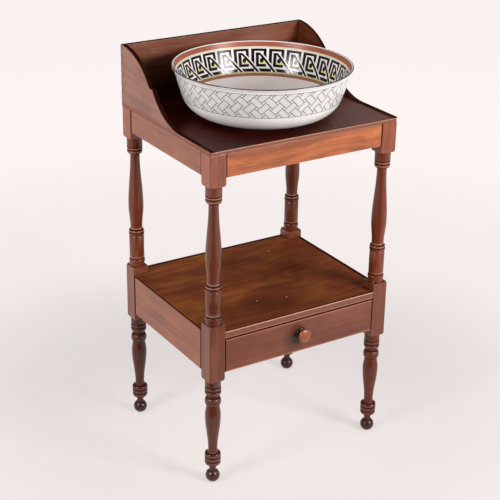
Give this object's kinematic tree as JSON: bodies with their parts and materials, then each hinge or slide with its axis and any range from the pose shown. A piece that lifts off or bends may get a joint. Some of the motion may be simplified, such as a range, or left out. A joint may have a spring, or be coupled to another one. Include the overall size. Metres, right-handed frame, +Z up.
{
  "type": "washstand with loose wash basin",
  "caption": "Tall wooden washstand on turned legs, with a scrolled gallery round its top, a low shelf over a shallow drawer, and a loose round ceramic wash basin.",
  "frame": {"origin": "on the floor, midway between the sides of the stand, and midway between the back of the gallery and the front of the basin's rim", "axes": "+Z up, +X to the right of someone who faces the drawer, +Y towards the back of the stand"},
  "size_m": [0.4584, 0.4072, 0.8978],
  "materials": {
    "mahogany": "reddish-brown wood under worn shellac, satin",
    "mahogany_boards": "darker reddish-brown wood under worn shellac, satin",
    "inner_wood": "plain pale wood, unfinished",
    "screw_steel": "dull old steel",
    "basin_glaze": "white glaze with printed bands, gloss"
  },
  "bodies": {
    "stand": {"leg_front_left": "mahogany", "leg_front_right": "mahogany", "leg_back_left": "mahogany", "leg_back_right": "mahogany", "top_rail_front": "mahogany", "top_rail_back": "mahogany", "top_rail_left": "mahogany", "top_rail_right": "mahogany", "lower_rail_left": "mahogany", "lower_rail_right": "mahogany", "lower_rail_back": "mahogany", "top_board": "mahogany_boards", "gallery_back": "mahogany_boards", "gallery_left": "mahogany_boards", "gallery_right": "mahogany_boards", "gallery_screws": "screw_steel", "glue_blocks": "inner_wood", "shelf_board": "mahogany_boards", "drawer_runner_left": "inner_wood", "drawer_runner_right": "inner_wood", "drawer_guide_left": "inner_wood", "drawer_guide_right": "inner_wood", "runner_screws": "screw_steel"},
    "drawer": {"drawer_front": "mahogany", "drawer_side_left": "inner_wood", "drawer_side_right": "inner_wood", "drawer_back": "inner_wood", "drawer_bottom": "inner_wood", "drawer_nails": "screw_steel", "drawer_knob": "mahogany"},
    "basin": {"wash_basin": "basin_glaze"}
  },
  "joints": [
    {"name": "drawer_slide", "type": "slide", "parent": "stand", "child": "drawer", "axis": [0, -1, 0], "range_m": [0, 0.24]},
    {"name": "basin_lift", "type": "slide", "parent": "stand", "child": "basin", "axis": [0, 0, 1], "range_m": [0, 0.15]}
  ]
}
